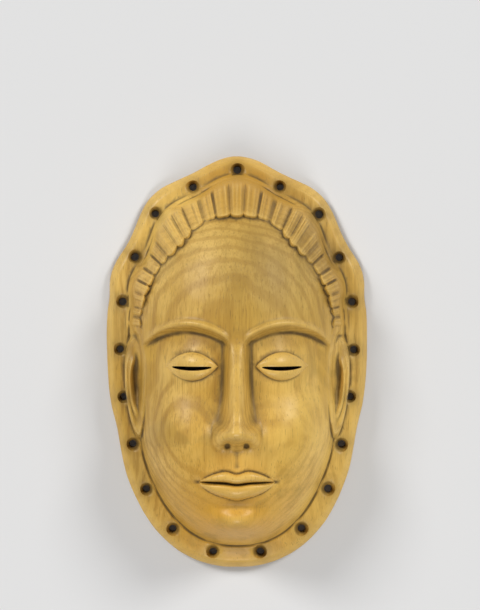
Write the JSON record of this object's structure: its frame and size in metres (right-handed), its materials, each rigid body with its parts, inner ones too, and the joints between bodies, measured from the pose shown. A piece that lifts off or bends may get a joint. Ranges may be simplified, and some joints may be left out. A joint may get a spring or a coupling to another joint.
{
  "type": "oval mask",
  "caption": "Oval face mask carved from light wood, hollow behind, with slit eyes, closed lips, lobed hair over the crown and a pierced rim band.",
  "frame": {"origin": "centre of the outline's box, on the plane of the flat back rim", "axes": "+X to the viewer's right, +Y towards the crown, +Z out of the front of the face; the mask lies face up"},
  "size_m": [0.1586, 0.25, 0.0788],
  "materials": {
    "carved_wood": "light carved wood with a satin honey patina, darker in the recesses and worn pale on the high places"
  },
  "bodies": {
    "root": {"mask": "carved_wood"}
  },
  "joints": []
}
